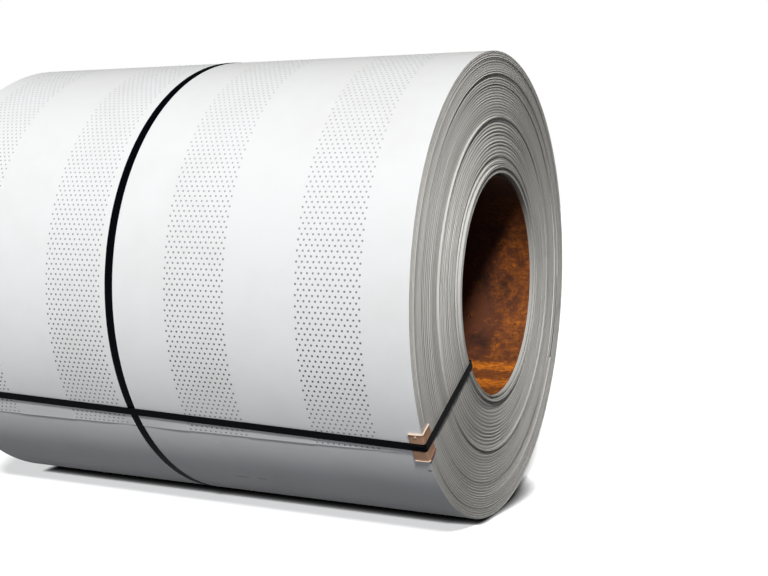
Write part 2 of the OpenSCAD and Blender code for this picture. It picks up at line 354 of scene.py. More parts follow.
def slit_edges(colours):
    """Slit edges of wound galvanised sheet: fine rounded lines of zinc and steel that catch the light across them."""
    material, tree, place = start_material("slit_edges")
    flat = add(tree, "ShaderNodeVectorMath", {0: place, 1: (0, 1, 1)}, operation="MULTIPLY")
    radius = add(tree, "ShaderNodeVectorMath", {0: flat.outputs[0]}, operation="LENGTH")
    outward = add(tree, "ShaderNodeVectorMath", {0: flat.outputs[0]}, operation="NORMALIZE")
    # The turns are 0.8 mm apart, too fine to show, so the lines are drawn three turns apart, a little uneven.
    # A wave of this texture is 2 pi / 20 long at scale 1
    across = add(tree, "ShaderNodeCombineXYZ", {"X": radius.outputs["Value"]})
    lines = add(
        tree, "ShaderNodeTexWave",
        {
            "Vector": across.outputs[0], "Scale": math.pi / 10 / 0.0024,
            "Distortion": 5.0, "Detail": 2.0, "Detail Scale": 100.0,
        },
    )
    # Some groups of turns, about 30 mm across, are dirtier than others
    groups = add(
        tree, "ShaderNodeTexNoise",
        {"W": radius.outputs["Value"], "Scale": 1 / 0.03, "Detail": 2.0, "Roughness": 0.6}, noise_dimensions="1D",
    )
    # Painted shade darkens the grooves between bundles, and the dirtier groups are darker along some lines
    groove = add(tree, "ShaderNodeAttribute", attribute_name="groove")
    dirt_and_shade = add(
        tree, "ShaderNodeMath", {0: groups.outputs["Fac"], 1: 2.0, 2: lines.outputs["Fac"]},
        operation="MULTIPLY_ADD",
    )
    dirt_and_shade = add(
        tree, "ShaderNodeMapRange", {"Value": dirt_and_shade.outputs[0], "From Min": 1.2, "From Max": 2.4, "To Max": 0.3},
    )
    dirt_and_shade = add(
        tree, "ShaderNodeMath", {0: groove.outputs["Fac"], 1: 0.6, 2: dirt_and_shade.outputs[0]}, operation="MULTIPLY_ADD",
    )
    tint = add(
        tree, "ShaderNodeMix", {0: dirt_and_shade.outputs[0], 6: rgba(colours.edges), 7: rgba(colours.edges_dull)},
        data_type="RGBA",
    )
    # Slitting rounds each edge, more on its outer side, so the lines tilt the face out and in by turns
    tilt = add(tree, "ShaderNodeMapRange", {"Value": lines.outputs["Fac"], "To Min": -1.05, "To Max": 1.7})
    lean = add(tree, "ShaderNodeVectorMath", {0: outward.outputs[0], "Scale": tilt.outputs[0]}, operation="SCALE")
    face = add(tree, "ShaderNodeNewGeometry")
    leaning = add(tree, "ShaderNodeVectorMath", {0: face.outputs["Normal"], 1: lean.outputs[0]}, operation="ADD")
    normal = add(tree, "ShaderNodeVectorMath", {0: leaning.outputs[0]}, operation="NORMALIZE")
    end_material(tree, add(
        tree, "ShaderNodeBsdfPrincipled",
        {
            "Base Color": tint.outputs[2], "Roughness": 0.55, "Anisotropic": 0.5,
            "Normal": normal.outputs[0], "Tangent": outward.outputs[0],
        },
    ))
    return material


def hole_shade(colours):
    """The turn under a punched hole: dark where light only grazes the sheet, and lighter where it falls in."""
    material, tree, place = start_material("hole_shade")
    # Spangle of about 4 mm sets one hole off from the next
    spangle = add(tree, "ShaderNodeTexNoise", {"Vector": place, "Scale": 1 / 0.004, "Detail": 1.0})
    tint = add(
        tree, "ShaderNodeMix",
        {
            0: spangle.outputs["Fac"], 6: rgba([c * 0.6 for c in colours.hole_shade]),
            7: rgba([c * 1.5 for c in colours.hole_shade]),
        },
        data_type="RGBA",
    )
    # Light falls in from above, most near the top of the coil, and a little comes back up from the floor
    split = add(tree, "ShaderNodeSeparateXYZ", {0: place})
    height = split.outputs["Z"]
    above = add(tree, "ShaderNodeMapRange", {"Value": height, "From Min": -0.17, "From Max": 0.38})
    below = add(tree, "ShaderNodeMapRange", {"Value": height, "From Min": -0.19, "From Max": -0.3, "To Max": 0.6})
    lit = add(tree, "ShaderNodeMath", {0: above.outputs[0], 1: below.outputs[0]}, operation="MAXIMUM")
    tint = add(
        tree, "ShaderNodeMix", {0: lit.outputs[0], 6: tint.outputs[2], 7: rgba(colours.hole_lit)}, data_type="RGBA",
    )
    end_material(tree, add(tree, "ShaderNodeBsdfPrincipled", {"Base Color": tint.outputs[2], "Roughness": 0.7}))
    return material


def backing_coat(colours):
    """Thin grey primer on the back of the sheet: matt, and seen on turns that look to the bore."""
    material, tree, place = start_material("backing_coat")
    # Roller marks of about 20 mm
    marks = add(tree, "ShaderNodeTexNoise", {"Vector": place, "Scale": 1 / 0.02, "Detail": 3.0})
    tint = add(
        tree, "ShaderNodeMix",
        {0: marks.outputs["Fac"], 6: rgba(colours.primer), 7: rgba([c * 0.85 for c in colours.primer])},
        data_type="RGBA",
    )
    end_material(tree, add(tree, "ShaderNodeBsdfPrincipled", {"Base Color": tint.outputs[2], "Roughness": 0.6}))
    return material


def rusty_steel(colours):
    """Hot-rolled steel left in the open: dark mill scale under brown rust, and fresh orange rust where water stood."""
    material, tree, place = start_material("rusty_steel")
    # Cloudy brown patches about 90 mm across over the scale
    clouds = add(tree, "ShaderNodeTexNoise", {"Vector": place, "Scale": 1 / 0.09, "Detail": 6.0, "Roughness": 0.65})
    cover = add(tree, "ShaderNodeMapRange", {"Value": clouds.outputs["Fac"], "From Min": 0.3, "From Max": 0.52})
    # The sleeve is drawn darker towards its top, with less rust over the dark scale there
    split = add(tree, "ShaderNodeSeparateXYZ", {0: place})
    lower_part = add(
        tree, "ShaderNodeMapRange",
        {"Value": split.outputs["Z"], "From Min": 0.05, "From Max": 0.22, "To Min": 1.0, "To Max": 0.15},
    )
    cover = add(tree, "ShaderNodeMath", {0: cover.outputs[0], 1: lower_part.outputs[0]}, operation="MULTIPLY")
    brown = add(
        tree, "ShaderNodeMix", {0: cover.outputs[0], 6: rgba(colours.scale), 7: rgba(colours.rust)}, data_type="RGBA",
    )
    # Water stood in the bottom and left level lines, frayed by a few millimetres
    patches = add(tree, "ShaderNodeTexNoise", {"Vector": place, "Scale": 1 / 0.03, "Detail": 8.0, "Roughness": 0.75})
    level = add(
        tree, "ShaderNodeMath", {0: patches.outputs["Fac"], 1: 0.03, 2: split.outputs["Z"]}, operation="MULTIPLY_ADD",
    )
    # From the water's edge down: orange pool, duller strip, orange foot, and a dull sump. Each has its
    # upper and lower height from the axis in metres, and its strength
    pool, strip, foot, sump = (
        add(
            tree, "ShaderNodeMapRange", {"Value": level.outputs[0], "From Min": high, "From Max": low, "To Max": most},
            interpolation_type="SMOOTHSTEP",
        )
        for high, low, most in (
            (-0.187, -0.198, 0.8), (-0.204, -0.210, 0.65), (-0.222, -0.228, 1.0), (-0.232, -0.237, 0.6),
        )
    )
    dull = add(
        tree, "ShaderNodeMath", {0: strip.outputs[0], 1: foot.outputs[0]}, operation="SUBTRACT", use_clamp=True,
    )
    dull = add(tree, "ShaderNodeMath", {0: dull.outputs[0], 1: sump.outputs[0]}, operation="MAXIMUM")
    wet = add(
        tree, "ShaderNodeMath", {0: pool.outputs[0], 1: dull.outputs[0]}, operation="SUBTRACT", use_clamp=True,
    )
    # Fresh rust thickens towards the mouths, in grain of about 7 mm that is drawn out along the tube
    drawn = add(tree, "ShaderNodeMapping", {"Vector": place, "Scale": (0.4, 1, 1)})
    specks = add(
        tree, "ShaderNodeTexNoise", {"Vector": drawn.outputs[0], "Scale": 1 / 0.007, "Detail": 5.0, "Roughness": 0.7},
    )
    reach = add(tree, "ShaderNodeMath", {0: split.outputs["X"]}, operation="ABSOLUTE")
    mouth = add(
        tree, "ShaderNodeMapRange", {"Value": reach.outputs[0], "From Min": 0.45, "From Max": 0.62, "To Max": 0.24},
    )
    speck = add(tree, "ShaderNodeMath", {0: patches.outputs["Fac"], 1: mouth.outputs[0]}, operation="ADD")
    speck = add(
        tree, "ShaderNodeMapRange", {"Value": speck.outputs[0], "From Min": 0.6, "From Max": 0.85, "To Max": 0.55},
    )
    speck = add(tree, "ShaderNodeMath", {0: speck.outputs[0], 1: lower_part.outputs[0]}, operation="MULTIPLY")
    fresh = add(tree, "ShaderNodeMath", {0: wet.outputs[0], 1: speck.outputs[0]}, operation="MAXIMUM")
    grain = add(
        tree, "ShaderNodeMapRange",
        {"Value": specks.outputs["Fac"], "From Min": 0.38, "From Max": 0.58, "To Min": 0.25},
    )
    fresh = add(tree, "ShaderNodeMath", {0: fresh.outputs[0], 1: grain.outputs[0]}, operation="MULTIPLY")
    orange = add(
        tree, "ShaderNodeMix", {0: fresh.outputs[0], 6: brown.outputs[2], 7: rgba(colours.fresh_rust)},
        data_type="RGBA",
    )
    # Here and there flakes of about 18 mm lift off and leave dark cracks
    flakes = add(tree, "ShaderNodeTexVoronoi", {"Vector": place, "Scale": 1 / 0.018}, feature="DISTANCE_TO_EDGE")
    crack = add(
        tree, "ShaderNodeMapRange",
        {"Value": flakes.outputs["Distance"], "From Min": 0.02, "From Max": 0.09, "To Min": 1.0, "To Max": 0.0},
    )
    where = add(tree, "ShaderNodeMapRange", {"Value": patches.outputs["Fac"], "From Min": 0.56, "From Max": 0.64})
    lines = add(tree, "ShaderNodeMath", {0: crack.outputs[0], 1: where.outputs[0]}, operation="MULTIPLY")
    tint = add(
        tree, "ShaderNodeMix",
        {0: lines.outputs[0], 6: orange.outputs[2], 7: rgba([c * 0.3 for c in colours.scale])}, data_type="RGBA",
    )
    height = add(tree, "ShaderNodeMath", {0: specks.outputs["Fac"], 1: patches.outputs["Fac"]}, operation="ADD")
    bump = add(tree, "ShaderNodeBump", {"Height": height.outputs[0], "Strength": 0.5, "Distance": 0.0012})
    end_material(tree, add(
        tree, "ShaderNodeBsdfPrincipled",
        {
            "Base Color": tint.outputs[2], "Roughness": 0.75, "Specular IOR Level": 0.25,
            "Normal": bump.outputs["Normal"],
        },
    ))
    return material


def black_strapping(colours):
    """Black painted and waxed steel strap: smooth and thin, with worn grey flecks on its face."""
    material, tree, place = start_material("black_strapping")
    # Worn flecks of about 12 mm
    wear = add(tree, "ShaderNodeTexNoise", {"Vector": place, "Scale": 1 / 0.012, "Detail": 6.0, "Roughness": 0.7})
    amount = add(
        tree, "ShaderNodeMapRange", {"Value": wear.outputs["Fac"], "From Min": 0.58, "From Max": 0.8, "To Max": 0.5},
    )
    tint = add(
        tree, "ShaderNodeMix",
        {0: amount.outputs[0], 6: rgba(colours.strap), 7: rgba([c * 4 for c in colours.strap])}, data_type="RGBA",
    )
    gloss = add(tree, "ShaderNodeMapRange", {"Value": wear.outputs["Fac"], "To Min": 0.4, "To Max": 0.6})
    bump = add(tree, "ShaderNodeBump", {"Height": wear.outputs["Fac"], "Strength": 0.15, "Distance": 0.0003})
    end_material(tree, add(
        tree, "ShaderNodeBsdfPrincipled",
        {
            "Base Color": tint.outputs[2], "Roughness": gloss.outputs[0], "Specular IOR Level": 0.04,
            "Normal": bump.outputs["Normal"],
        },
    ))
    return material


def moulded_board(colours):
    """Pressed tan board: matt and fibrous, a little darker in blotches where it has been handled."""
    material, tree, place = start_material("moulded_board")
    # Blotches of about 18 mm
    blotch = add(tree, "ShaderNodeTexNoise", {"Vector": place, "Scale": 1 / 0.018, "Detail": 5.0, "Roughness": 0.6})
    amount = add(tree, "ShaderNodeMapRange", {"Value": blotch.outputs["Fac"], "From Min": 0.3, "From Max": 0.75})
    tint = add(
        tree, "ShaderNodeMix",
        {0: amount.outputs[0], 6: rgba(colours.protector), 7: rgba([c * 0.8 for c in colours.protector])},
        data_type="RGBA",
    )
    # Fibres about 1 mm long, coarser than the real ones so that they show
    fibre = add(tree, "ShaderNodeTexNoise", {"Vector": place, "Scale": 1 / 0.0012, "Detail": 3.0})
    bump = add(tree, "ShaderNodeBump", {"Height": fibre.outputs["Fac"], "Strength": 0.4, "Distance": 0.0004})
    end_material(tree, add(
        tree, "ShaderNodeBsdfPrincipled",
        {"Base Color": tint.outputs[2], "Roughness": 0.82, "Normal": bump.outputs["Normal"]},
    ))
    return material


def pale_board(colours):
    """Rims and worn edges of the same board, where its pale core shows."""
    material, tree, place = start_material("pale_board")
    # Bared fibre bundles of about 3 mm
    fibre = add(tree, "ShaderNodeTexNoise", {"Vector": place, "Scale": 1 / 0.003, "Detail": 4.0})
    tint = add(
        tree, "ShaderNodeMix",
        {
            0: fibre.outputs["Fac"], 6: rgba(colours.protector_edge),
            7: rgba([c * 0.8 for c in colours.protector_edge]),
        },
        data_type="RGBA",
    )
    bump = add(tree, "ShaderNodeBump", {"Height": fibre.outputs["Fac"], "Strength": 0.3, "Distance": 0.0004})
    end_material(tree, add(
        tree, "ShaderNodeBsdfPrincipled",
        {"Base Color": tint.outputs[2], "Roughness": 0.85, "Normal": bump.outputs["Normal"]},
    ))
    return material


def shaded_board(colours):
    """The rim at the foot of a protector's end leg, drawn dark red-brown as painted shade."""
    material, tree, place = start_material("shaded_board")
    # Uneven patches of about 6 mm in that painted shade
    shade_patches = add(tree, "ShaderNodeTexNoise", {"Vector": place, "Scale": 1 / 0.006, "Detail": 4.0})
    tint = add(
        tree, "ShaderNodeMix",
        {
            0: shade_patches.outputs["Fac"], 6: rgba(colours.protector_stain),
            7: rgba([c * 0.6 for c in colours.protector_stain]),
        },
        data_type="RGBA",
    )
    end_material(tree, add(tree, "ShaderNodeBsdfPrincipled", {"Base Color": tint.outputs[2], "Roughness": 0.8}))
    return material


def shared(maker, colours):
    """The material of a maker, made once."""
    return bpy.data.materials.get(maker.__name__) or maker(colours)


def add_piece(mesh, name, makers, nodes, colours, sharp=30):
    """Makes an object of a finished bmesh, which rides on the coil and stands for CAD nodes."""
    data = bpy.data.meshes.new(name)
    mesh.to_mesh(data)
    mesh.free()
    for maker in makers:
        data.materials.append(shared(maker, colours))
    data.shade_smooth()
    data.set_sharp_from_angle(angle=math.radians(sharp))
    piece = bpy.data.objects.new(name, data)
    bpy.context.scene.collection.objects.link(piece)
    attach(piece, "root")
    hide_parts(*nodes)
    return piece


def end_profile(sheet, inner):
    """Section of the near end, from the bore out: radius, distance out of the rim's plane, and depth in a groove."""
    chance = random.Random(11)
    outer = sheet.radius - sheet.thickness * 1.2
    steps, finest = 6, 0.0004
    stops = {share * sheet.radius for share, _ in SLIPS if inner < share * sheet.radius < outer} | {inner, outer}
    points, zones, start = set(stops), [], inner
    for share, spacing, height in SWELLS:
        end = min(share * sheet.radius, outer)
        count = max(round((end - start) * 1000 / spacing), 1)
        points |= {start + (end - start) * i / (count * steps) for i in range(count * steps)}
        zones.append((start, end, count, height))
        start = end
    kept = []
    for radius in sorted(points):
        if not kept or radius in stops or radius - kept[-1] > finest:
            kept.append(radius)
    section = []
    for start, end, count, height in zones:
        heights = [height * chance.uniform(0.6, 1.3) for _ in range(count + 1)]
        for radius in [r for r in kept if start <= r < end or r == outer == end]:
            along = (radius - start) / (end - start) * count
            swell = math.sin(along * 2 * math.pi - math.pi / 2)
            passed = [pair for pair in zip(SLIPS, SLIPS[1:]) if pair[0][0] * sheet.radius <= radius + 1e-9]
            (before, out), (after, next_out) = passed[-1]
            out += (next_out - out) * (radius / sheet.radius - before) / (after - before)
            out += heights[int(along)] * swell
            section.append((radius, out / 1000, (0.5 - swell / 2) ** 2))
    return section


def arm_to(spot):
    """The way from the coil's axis straight out to a point."""
    return Vector((0, spot.y, spot.z - AXIS_HEIGHT))


def polar(spot):
    """Radius of a point from the coil's axis, and its angle below the horizontal at the front."""
    arm = arm_to(spot)
    return math.hypot(arm.y, arm.z), math.atan2(-arm.z, -arm.y)


def spin_round(mesh, geom, steps):
    """Turns a section once round the coil's axis."""
    bmesh.ops.spin(
        mesh, geom=geom, cent=(0, 0, AXIS_HEIGHT), axis=(1, 0, 0), dvec=(0, 0, 0), angle=2 * math.pi,
        steps=steps, use_merge=True, use_duplicate=False,
    )


def make_wound_body(sheet, packaging, colours, near):
    """Half of the wound turns: a turned body with slipped and swelling bundles of turns on its end, and its bore."""
    inner = BORE_RADIUS + packaging.sleeve_wall + packaging.gap
    outer = sheet.radius - sheet.thickness * 1.3
    half = sheet.width / 2
    middle = ring_middle(sheet, packaging, math.pi / 2)
    # The turns slipped less at the back of the near end
    back_of_end, less_slip = math.radians(165), 0.35
    # The eye strap presses turns down this far to each side of it, and the ones beside the bore only a little
    press_reach, bore_press, press_from, press_to = 0.13, 0.13, 0.488, 0.5
    # Over the first millimetres beside the bore, the turns keep to the sleeve
    close_from, close_to = inner + 0.0005, inner + 0.0095
    mesh = bmesh.new()
    # The groove layer tells how deep a point lies in a groove between bundles, where the slit edges get painted shade
    groove = mesh.verts.layers.float.new("groove")
    chain = [mesh.verts.new(at(inner, 0, middle))]
    for radius, out, deep in end_profile(sheet, inner):
        vert = mesh.verts.new(at(radius, 0, half + out if near else max(out, -0.002) - half))
        vert[groove] = deep
        chain.append(vert)
    chain.append(mesh.verts.new(at(sheet.radius - sheet.thickness * 1.2, 0, middle)))
    edges = [mesh.edges.new((a, b)) for a, b in zip(chain, chain[1:])]
    spin_round(mesh, chain + edges, 216)
    for vert in mesh.verts:
        radius, angle = polar(vert.co)
        place, rise = vert.co.x, 0
        if abs(place - middle) > 1e-4:
            if near:
                out = (place - half) * (1 - less_slip * max(math.cos(angle - back_of_end), 0) ** 2)
                place = half + out
            if near and out > 0:
                pressed = math.exp(-((angle - packaging.eye_near) / press_reach) ** 2)
                share = bore_press + (1 - bore_press) * smooth(radius, press_from, press_to)
                place = half + out * (1 - pressed * share)
            # No turn lies quite flat: a wave of 0.1 mm runs round them
            place += 0.0001 * math.sin(angle * 3 + radius * 61) * smooth(sheet.radius - radius, 0.0, 0.04)
            # Loose turns stand off the sleeve above it, and sit closer under it
            over = max(-math.sin(angle), 0)
            loose = over + (1 - over) * smooth(radius, close_from, close_to)
            rise = sheet.slack * loose * (sheet.radius - radius) / (sheet.radius - inner)
        if radius > outer:
            back = (sheet.tail - angle) % (2 * math.pi)
            radius = sheet.radius - sheet.thickness * (1.06 + back / (2 * math.pi))
        vert.co = at(radius, angle, place) + Vector((0, 0, rise))
    bmesh.ops.recalc_face_normals(mesh, faces=mesh.faces)
    # The section is open at the coil's middle, so the bore, which looks to the axis, tells which way is out
    bore = min(mesh.faces, key=lambda face: arm_to(face.calc_center_median()).length)
    if bore.normal.dot(arm_to(bore.calc_center_median())) > 0:
        bmesh.ops.reverse_faces(mesh, faces=mesh.faces)
    for face in mesh.faces:
        arm = arm_to(face.calc_center_median())
        tilt = face.normal.dot(arm.normalized())
        # Painted faces of the turns show on the walls of tall slips: the top coat outside, with dust and painted shade
        # on it, and the primer inside
        tall = max(abs(edge.verts[0].co.x - edge.verts[1].co.x) for edge in face.edges) > 0.0021
        face.material_index = 1
        if arm.length > outer and abs(face.normal.x) < 0.5:
            face.material_index = 0
        elif tall and tilt > 0.8:
            face.material_index = 3
        elif tall and tilt < -0.8:
            face.material_index = 2
    name = "near" if near else "far"
    return add_piece(
        mesh, f"wound_turns_{name}", [coil_coating, slit_edges, backing_coat, dust_and_shade_coating],
        ["sheet_coil"], colours,
    )


def make_band(sheet, packaging, colours, number, middle):
    """One perforated band of the last turn: punched holes in staggered rows, made flat and bent round the coil."""
    row, rows, half = band_grid(sheet)
    columns = sheet.holes * 2
    mesh = bmesh.new()
    bmesh.ops.create_grid(mesh, x_segments=columns, y_segments=rows, size=0.5)
    bmesh.ops.scale(mesh, verts=mesh.verts, vec=(half * 2, row * rows, 1))
    bmesh.ops.translate(mesh, verts=mesh.verts, vec=(0, row * rows / 2, 0))
    joints = []
    for edge in mesh.edges:
        a, b = edge.verts[0].co, edge.verts[1].co
        if abs(a.x - b.x) < 1e-6:
            column = round((a.x + half) / (sheet.pitch / 2))
            line = int((a.y + b.y) / 2 / row)
            if 0 < column < columns and column % 2 != line % 2:
                joints.append(edge)
    bmesh.ops.dissolve_edges(mesh, edges=joints, use_verts=False)
    # Each brick of the grid holds one hole: a hexagon first, then a twelve-sided rim
    cells = [face for face in mesh.faces if len(face.verts) == 6]
    bmesh.ops.inset_individual(mesh, faces=cells, thickness=sheet.pitch * 0.2, use_even_offset=True)
    for face in cells:
        centre = face.calc_center_bounds()
        for vert in face.verts:
            away = vert.co - centre
            angle = math.radians(round((math.degrees(math.atan2(away.y, away.x)) - 30) / 60) * 60 + 30)
            vert.co = centre + Vector((math.cos(angle), math.sin(angle), 0)) * sheet.hole / 2
    rims = {edge for face in cells for edge in face.edges}
    halved = bmesh.ops.subdivide_edges(mesh, edges=list(rims), cuts=1)
    for vert in [e for e in halved["geom_inner"] if isinstance(e, bmesh.types.BMVert)]:
        centre = next(face for face in vert.link_faces if len(face.verts) == 12).calc_center_bounds()
        vert.co = centre + (vert.co - centre).normalized() * sheet.hole / 2
    holes = [face for face in mesh.faces if len(face.verts) == 12]
    sunk = bmesh.ops.extrude_discrete_faces(mesh, faces=holes)["faces"]
    for face in sunk:
        for vert in face.verts:
            vert.co.z = -sheet.thickness * 0.97
        face.material_index = 1
        for edge in face.edges:
            for wall in edge.link_faces:
                wall.material_index = 1
    for vert in mesh.verts:
        vert.co = sheet_point(sheet, packaging, middle + vert.co.x, vert.co.y, -vert.co.z)
    return add_piece(
        mesh, f"perforated_band_{number}", [coil_coating, hole_shade], ["sheet_coil"], colours,
    )


def make_plain_sheet(sheet, packaging, colours):
    """The last turn without its perforated bands: plain margins, and the plain sheet below the free edge."""
    row, rows, half = band_grid(sheet)
    full = 2 * math.pi * sheet.radius
    lines = int(round(full / row))
    sides = [edge for middle in band_middles(sheet) for edge in (middle - half, middle + half)]
    cuts = sorted(sides + [-sheet.width / 2, sheet.width / 2])
    stops = []
    for a, b in zip(cuts, cuts[1:]):
        parts = 1 if abs(b - a - half * 2) < 1e-5 else max(int((b - a) / 0.03), 1)
        stops += [a + (b - a) * i / parts for i in range(parts)]
    stops.append(cuts[-1])
    mesh = bmesh.new()
    bmesh.ops.create_grid(mesh, x_segments=len(stops) - 1, y_segments=lines, size=0.5)
    for vert in mesh.verts:
        column = round((vert.co.x + 0.5) * (len(stops) - 1))
        line = round((vert.co.y + 0.5) * lines)
        length = line * row
        if line > rows:
            length = rows * row + (full - rows * row) * (line - rows) / (lines - rows)
        vert.co = Vector((stops[column], length, 0))
    bands = []
    for face in mesh.faces:
        middle = face.calc_center_median()
        inside = any(abs(middle.x - m) < half for m in band_middles(sheet))
        if inside and middle.y < rows * row:
            bands.append(face)
    bmesh.ops.delete(mesh, geom=bands, context="FACES")
    for vert in mesh.verts:
        vert.co = sheet_point(sheet, packaging, vert.co.x, vert.co.y, 0)
    bmesh.ops.solidify(mesh, geom=mesh.faces[:], thickness=sheet.thickness * 0.98)
    return add_piece(mesh, "plain_margins", [coil_coating], ["sheet_coil"], colours)


def make_sleeve(packaging, colours):
    """The core sleeve: a rolled steel tube, very slightly out of round."""
    outer = BORE_RADIUS + packaging.sleeve_wall
    half, chamfer = SLEEVE_LENGTH / 2, 0.0005
    parts = [half - SLEEVE_LENGTH * i / 24 for i in range(1, 24)]
    stops = [half, half - chamfer] + parts + [-half + chamfer, -half]
    mesh = bmesh.new()
    chain = []
    for place in stops:
        # The mouths are opened a little by their chamfer
        chain.append(mesh.verts.new(at(BORE_RADIUS + (0.0006 if abs(place) == half else 0), 0, place)))
    chain.append(mesh.verts.new(at(outer, 0, -half)))
    chain.append(mesh.verts.new(at(outer, 0, half)))
    edges = [mesh.edges.new((a, b)) for a, b in zip(chain, chain[1:] + chain[:1])]
    spin_round(mesh, chain + edges, 144)
    for vert in mesh.verts:
        radius, angle = polar(vert.co)
        place = vert.co.x
        if radius < BORE_RADIUS + 0.001:
            radius += 0.0003 + 0.0002 * math.sin(angle * 3 + place * 9) + 0.0001 * math.sin(angle * 11 + place * 23)
            vert.co = at(radius, angle, place)
    bmesh.ops.recalc_face_normals(mesh, faces=mesh.faces)
    return add_piece(mesh, "core_tube", [rusty_steel], ["core_sleeve"], colours)


def strip(mesh, route, width, thickness):
    """Adds a flat strap along a route: points, each with the way off its seat and the way across the strap."""
    before = set(mesh.verts)
    bmesh.ops.create_grid(mesh, x_segments=len(route) - 1, y_segments=4, size=0.5)
    new = [vert for vert in mesh.verts if vert not in before]
    for vert in new:
        point, away, across = route[round((vert.co.x + 0.5) * (len(route) - 1))]
        # The corners of the rolled strip are a little rounded
        edge = abs(vert.co.y) * 2
        vert.co = point + across * vert.co.y * width + away * (thickness - (thickness * 0.25 if edge > 0.9 else 0))
    faces = [face for face in mesh.faces if all(vert in new for vert in face.verts)]
    bmesh.ops.recalc_face_normals(mesh, faces=faces)
    if faces[0].normal.dot(route[0][1]) < 0:
        bmesh.ops.reverse_faces(mesh, faces=faces)
    bmesh.ops.solidify(mesh, geom=faces, thickness=thickness * 0.9)


def ring_route(sheet, packaging, start, end, lift):
    """Route round the coil between two angles, for the ring strap."""
    steps = max(int(abs(end - start) / math.radians(2)), 2)
    radius = sheet.radius + packaging.gap + lift
    route = []
    for i in range(steps + 1):
        angle = start + (end - start) * i / steps
        away = at(1, angle, 0) - at(0, angle, 0)
        along = at(1, angle + math.pi / 2, 0) - at(0, 0, 0)
        across = (Vector((1, 0, 0)) - along * math.tan(packaging.ring_skew) * math.sin(angle)).normalized()
        route.append((at(radius, angle, ring_middle(sheet, packaging, angle)), away, across))
    return route


def make_ring_strap(sheet, packaging, colours):
    """The strap round the coil, with its two ends lapped under the seal."""
    mesh = bmesh.new()
    width, thickness = packaging.strap_width, packaging.strap_thickness
    half = packaging.lap / sheet.radius / 2
    start, end = packaging.ring_seal - half, packaging.ring_seal + half
    strip(mesh, ring_route(sheet, packaging, start, end - 2 * math.pi, 0)[::-1], width, thickness)
    strip(mesh, ring_route(sheet, packaging, start, end, thickness), width, thickness)
    return add_piece(mesh, "ring_strap_band", [black_strapping], ["ring_strap"], colours)


def eye_corners(sheet, packaging):
    """Corners of the eye strap's seat: radius, place along the axis and angle."""
    over = packaging.gap * 2 + packaging.leg_thickness
    inner = math.sqrt(BORE_RADIUS**2 - (packaging.strap_width / 2) ** 2) - packaging.gap
    return [
        (sheet.radius + over, sheet.width / 2 + over, packaging.eye_near),
        (inner, sheet.width / 2 + packaging.eye_stand, packaging.eye_inside),
        (inner, -sheet.width / 2 - 0.002 - packaging.gap, packaging.eye_inside),
        (sheet.radius + over, -sheet.width / 2 - over, packaging.eye_far),
    ]


def make_eye_strap(sheet, packaging, colours):
    """The strap through the bore, bent over the corner protectors, with its ends lapped on the far end."""
    corners = eye_corners(sheet, packaging)
    route = []
    for k, (radius, place, angle) in enumerate(corners):
        here = Vector((radius, place))
        into = (here - Vector(corners[k - 1][:2])).normalized()
        away = (Vector(corners[(k + 1) % 4][:2]) - here).normalized()
        out = Vector((into.y, -into.x))
        bend = BORE_RADIUS + packaging.sleeve_wall + packaging.gap - radius
        if k in (0, 3):
            bend = packaging.corner + packaging.gap
        full = into.angle(away)
        centre = here - into * bend * math.tan(full / 2) - out * bend
        for i in range(9):
            normal = out * math.cos(full * i / 8) + into * math.sin(full * i / 8)
            point = centre + normal * bend
            direction = at(1, angle, 0) - at(0, angle, 0)
            across = at(1, angle + math.pi / 2, 0) - at(0, 0, 0)
            route.append((at(point.x, angle, point.y), direction * normal.x + Vector((normal.y, 0, 0)), across))
    # The long runs get points of their own
    whole = []
    for (p, n, w), (q, m, v) in zip(route, route[1:] + route[:1]):
        parts = max(int((q - p).length / 0.04), 1)
        for i in range(parts):
            t = i / parts
            whole.append((p.lerp(q, t), n.lerp(m, t).normalized(), w.lerp(v, t).normalized()))
    whole.append(whole[0])
    mesh = bmesh.new()
    strip(mesh, whole, packaging.strap_width, packaging.strap_thickness)
    bmesh.ops.remove_doubles(mesh, verts=mesh.verts, dist=1e-6)
    foot, top = [at(radius, angle, place) for radius, place, angle in corners[2:]]
    run = (top - foot).normalized()
    across = (at(1, (corners[2][2] + corners[3][2]) / 2 + math.pi / 2, 0) - at(0, 0, 0)).normalized()
    out = run.cross(across)
    out = out if out.x < 0 else -out
    middle = (foot + top) / 2 + out * packaging.strap_thickness
    lap = [(middle + run * packaging.lap * (i / 4 - 0.5), out, out.cross(run)) for i in range(5)]
    strip(mesh, lap, packaging.strap_width, packaging.strap_thickness)
    return add_piece(mesh, "eye_strap_band", [black_strapping], ["eye_strap"], colours)


def pull_up(mesh, faces, height):
    """Extrudes faces of a flat mesh upwards, and gives the new faces."""
    new = bmesh.ops.extrude_face_region(mesh, geom=faces)["geom"]
    verts = [item for item in new if isinstance(item, bmesh.types.BMVert)]
    bmesh.ops.translate(mesh, verts=verts, vec=(0, 0, height))
    return [item for item in new if isinstance(item, bmesh.types.BMFace)]


